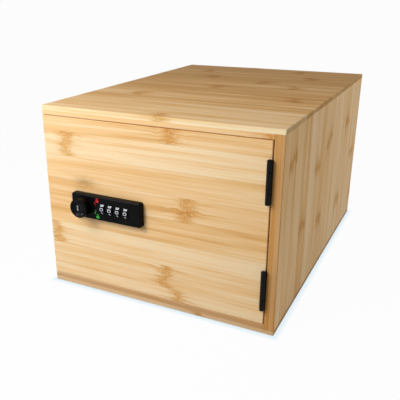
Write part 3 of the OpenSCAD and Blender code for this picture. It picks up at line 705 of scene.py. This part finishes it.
# Digits: strokes on a square from -1 to 1, drawn with round corners
DIGIT_W = 4.7 * MM
DIGIT_H = 3.9 * MM
DIGIT_LINE = 0.85 * MM
DIGIT_CORNER = 1.1 * MM
DIGIT_UP = math.radians(4.0)
DIGITS = (
    [([(0, 1), (-1, 1), (-1, -1), (1, -1), (1, 1)], True)],
    [([(-0.5, 0.5), (0.15, 1), (0.15, -1)], False)],
    [([(-1, 1), (1, 1), (1, 0), (-1, 0), (-1, -1), (1, -1)], False)],
    [([(-1, 1), (1, 1), (1, -1), (-1, -1)], False), ([(-0.4, 0), (1, 0)], False)],
    [([(-0.8, 1), (-1, -0.3), (1, -0.3)], False), ([(0.5, 0.5), (0.5, -1)], False)],
    [([(1, 1), (-1, 1), (-1, 0.1), (1, 0.1), (1, -1), (-1, -1)], False)],
    [([(1, 1), (-1, 1), (-1, -1), (1, -1), (1, 0.1), (-1, 0.1)], False)],
    [([(-1, 1), (1, 1), (-0.2, -1)], False)],
    [([(0, 1), (-1, 1), (-1, -1), (1, -1), (1, 1)], True), ([(-1, 0), (1, 0)], False)],
    [([(-1, -1), (1, -1), (1, 1), (-1, 1), (-1, -0.1), (1, -0.1)], False)],
)


def digit_strokes(digit):
    """The strokes of one digit, flat and at its real size."""
    half = np.array([DIGIT_W - DIGIT_LINE, DIGIT_H - DIGIT_LINE]) / 2
    for points, closed in DIGITS[digit]:
        path = rounded(np.array(points, float) * half, DIGIT_CORNER, closed)
        yield stroke(path, DIGIT_LINE, closed)


def round_wheel(shape, axis_point, digit):
    """A flat shape wrapped round a wheel, its x along the axle.

    The angle up from the front is y / radius, less the digit's share of a turn, plus DIGIT_UP. A point
    then lies at (x, -r * cos(angle), r * sin(angle)) from the axis, where r is the radius plus its height.
    """
    points, faces = shape
    angle = points[:, 1] / WHEEL_R - 2 * math.pi * digit / len(DIGITS) + DIGIT_UP
    radius = WHEEL_R + points[:, 2]
    placed = np.stack([points[:, 0], -radius * np.cos(angle), radius * np.sin(angle)], 1)
    return placed + axis_point, faces


def print_digits(number):
    """The ten digits of one wheel: 0 faces the front, and the numbers grow downwards."""
    low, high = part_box(f"dial_wheel_{number}")
    axis_point = np.array((low + high) / 2)
    shapes = [
        round_wheel(shape, axis_point, digit)
        for digit in range(len(DIGITS))
        for shape in digit_strokes(digit)
    ]
    piece(f"digits_{number}", shapes, WHITE_INK, f"dial_{number}")


for number in range(1, 5):
    print_digits(number)


# Marks on the housing's face: a shut padlock in red above, an open one in green below
FACE = HOUSING_LOW.y
MID_Z = (HOUSING_LOW.z + HOUSING_HIGH.z) / 2
KNOB_X = JOINTS["knob_turn"]["pos_m"][0]
LOCK_MARK_X = KNOB_X + 21.0 * MM
LOCK_MARK_RISE = 10.3 * MM
LOCK_BODY_W = 4.2 * MM
LOCK_BODY_H = 3.2 * MM
LOCK_BODY_CORNER = 0.5 * MM
SHACKLE_R = 1.2 * MM
SHACKLE_RISE = 0.7 * MM
SHACKLE_SEAT = 0.2 * MM
SHACKLE_LINE = 0.75 * MM
ARC_R = 18.8 * MM
ARC_TIP = 0.25 * MM


def on_face(shape, x, z):
    """A flat shape laid on the housing's face, its middle at x and z."""
    points, faces = shape
    return np.stack([points[:, 0] + x, FACE - points[:, 2], points[:, 1] + z], 1), faces


def box_outline(w, h, radius):
    """A rectangle w by h round the origin, with round corners."""
    return rounded([(-w / 2, -h / 2), (w / 2, -h / 2), (w / 2, h / 2), (-w / 2, h / 2)], radius, True)


def padlock(lift):
    """Body and shackle; lift is how far above the body the left leg of an open shackle ends."""
    t = np.linspace(0, math.pi, 24)
    leg = LOCK_BODY_H / 2
    seat = leg - SHACKLE_SEAT
    bow = np.stack([SHACKLE_R * np.cos(t), leg + SHACKLE_RISE + SHACKLE_R * np.sin(t)], 1)
    path = np.concatenate([[(SHACKLE_R, seat)], bow, [(-SHACKLE_R, seat + lift)]])
    return [plate(box_outline(LOCK_BODY_W, LOCK_BODY_H, LOCK_BODY_CORNER)), stroke(path, SHACKLE_LINE)]


def arc(start_deg, stop_deg, width):
    """A stroke round the knob, from one angle above the level to another, that swells to width."""
    t = np.radians(np.linspace(start_deg, stop_deg, 24))
    return stroke(np.stack([ARC_R * np.cos(t), ARC_R * np.sin(t)], 1), (ARC_TIP, width))


def print_marks():
    """The two padlocks, and an arc of each colour that swells from the level towards its padlock."""
    mark_drop = 0.9 * MM
    open_lift = 0.9 * MM
    red = [on_face(s, LOCK_MARK_X, MID_Z + LOCK_MARK_RISE - mark_drop) for s in padlock(0.0)]
    red.append(on_face(arc(8, 25, 1.1 * MM), KNOB_X, MID_Z))
    green = [on_face(s, LOCK_MARK_X, MID_Z - LOCK_MARK_RISE - mark_drop) for s in padlock(open_lift)]
    green.append(on_face(arc(-6, -23, 1.5 * MM), KNOB_X, MID_Z))
    piece("shut_marks", red, RED_INK, "door")
    piece("open_marks", green, GREEN_INK, "door")


print_marks()

# Floor and backdrop: nearly white to the camera and to mirrors, with a faint shadow kept in, and a painted
# shadow at the box's foot
FLOOR_REACH = 40.0
FLOOR_DROP = 0.2 * MM
FLOOR_COLOUR = (0.62, 0.63, 0.65, 1.0)
GLOW_SHARE = 0.97
SHADE_W = 9.0
PAINTED_CONTACT_SHADOW = (0.76, 0.87, 0.93, 1.0)


def floor():
    """The floor, with a thin cool painted shadow at the foot of the box that fades out SHADE_W millimetres
    away.
    """
    mesh = bpy.data.meshes.new("floor")
    signs = ((-1, -1), (1, -1), (1, 1), (-1, 1))
    corners = [(FLOOR_REACH * side, FLOOR_REACH * end, 0) for side, end in signs]
    mesh.from_pydata(corners, [], [(0, 1, 2, 3)])
    made = bpy.data.objects.new("floor", mesh)
    bpy.context.scene.collection.objects.link(made)
    made.location.z = -FLOOR_DROP
    p = Paint("floor_white")
    p.finish(Base_Color=FLOOR_COLOUR, Roughness=0.9)
    seen = p.add("LightPath", {})
    rays = seen.node.outputs
    seen = p.math("MAXIMUM", seen, p.math("MAXIMUM", rays["Is Glossy Ray"], rays["Is Transmission Ray"]))
    low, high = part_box("bottom_board")
    x, y, z = p.place()
    aside = p.minus(p.math("ABSOLUTE", x), high.x / MM)
    ahead = p.minus(low.y / MM, y)
    behind = p.minus(y, high.y / MM)
    away = p.math("MAXIMUM", aside, p.math("MAXIMUM", ahead, behind))
    # Painted shadow: the camera's glow turns a cool grey at the box's foot
    near = p.minus(1.0, p.step(away, 0.0, SHADE_W))
    glow = p.add("Emission", {"Color": p.mix(near, PLAIN, PAINTED_CONTACT_SHADOW), "Strength": 1.0})
    shown = p.add("MixShader", {0: p.times(seen, GLOW_SHARE), 1: p.shader.outputs[0], 2: glow})
    p.feed(p.tree.nodes["Material Output"].inputs["Surface"], shown)
    mesh.materials.append(p.material)
    made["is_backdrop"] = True


def world():
    """White where the camera or a mirror looks, and a soft even light elsewhere."""
    made = bpy.data.worlds.new("studio")
    bpy.context.scene.world = made
    made.use_nodes = True
    tree = made.node_tree
    sky = tree.nodes["Background"]
    path = tree.nodes.new("ShaderNodeLightPath")
    seen = path.outputs["Is Camera Ray"]
    for ray in ("Is Glossy Ray", "Is Transmission Ray"):
        either = tree.nodes.new("ShaderNodeMath")
        either.operation = "MAXIMUM"
        tree.links.new(seen, either.inputs[0])
        tree.links.new(path.outputs[ray], either.inputs[1])
        seen = either.outputs[0]
    level = tree.nodes.new("ShaderNodeMapRange")
    level.inputs["To Min"].default_value = AMBIENT
    level.inputs["To Max"].default_value = 1.0
    tree.links.new(seen, level.inputs["Value"])
    tree.links.new(level.outputs[0], sky.inputs["Strength"])
    sky.inputs["Color"].default_value = (1.0, 1.0, 1.0, 1.0)


def softbox(name, place, target, size, power):
    """A square white lamp of size metres at place that looks at target."""
    light = bpy.data.lights.new(name, "AREA")
    light.shape = "RECTANGLE"
    light.size, light.size_y = size, size
    light.energy = power
    made = bpy.data.objects.new(name, light)
    bpy.context.scene.collection.objects.link(made)
    made.location = place
    made.rotation_mode = "QUATERNION"
    made.rotation_quaternion = (Vector(target) - Vector(place)).to_track_quat("-Z", "Y")


# Light: an even part from all round, and four lamps in watts
AMBIENT = 0.16
DOOR_MIDDLE = (0.0, FRONT * MM, 0.12)
SIDE_MIDDLE = (0.15, 0.10, 0.12)
TOP_FRONT = (0.0, -0.15, 0.20)
floor()
world()
softbox("key", place=(-0.32, -0.72, 0.60), target=DOOR_MIDDLE, size=0.4, power=5.2)
softbox("overhead", place=(-0.10, -0.66, 0.95), target=TOP_FRONT, size=0.5, power=1.35)
softbox("side", place=(1.30, 0.55, 0.40), target=SIDE_MIDDLE, size=0.8, power=6.2)
softbox("glint", place=(-1.20, -0.60, 0.42), target=DOOR_MIDDLE, size=0.09, power=1.8)

# Camera, at the photograph's place: turned round the box, raised and leaning, in degrees and metres
VIEW_TURN = 27.27
VIEW_RISE = 20.92
VIEW_LEAN = -0.445
VIEW_FROM = (0.2980, -0.7385, 0.3665)
LENS = 50.08
SENSOR_W = 36.0
SHIFT = (0.0662, 0.0074)


def camera():
    """The camera, whose sight line is (-sin turn * cos rise, cos turn * cos rise, -sin rise)."""
    data = bpy.data.cameras.new("camera")
    data.lens = LENS
    data.sensor_width = SENSOR_W
    data.shift_x, data.shift_y = SHIFT
    data.clip_start, data.clip_end = 0.01, 50.0
    made = bpy.data.objects.new("camera", data)
    bpy.context.scene.collection.objects.link(made)
    turn, rise = math.radians(VIEW_TURN), math.radians(VIEW_RISE)
    ahead = Vector((-math.sin(turn) * math.cos(rise), math.cos(turn) * math.cos(rise), -math.sin(rise)))
    made.location = VIEW_FROM
    made.rotation_mode = "QUATERNION"
    made.rotation_quaternion = ahead.to_track_quat("-Z", "Y") @ Quaternion((0, 0, 1), math.radians(VIEW_LEAN))
    bpy.context.scene.camera = made


camera()
bpy.context.scene.view_settings.view_transform = "Standard"

boxes = {"cad": cad_box, "visual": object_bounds()}
{name: [list(corner) for corner in box] for name, box in boxes.items()}
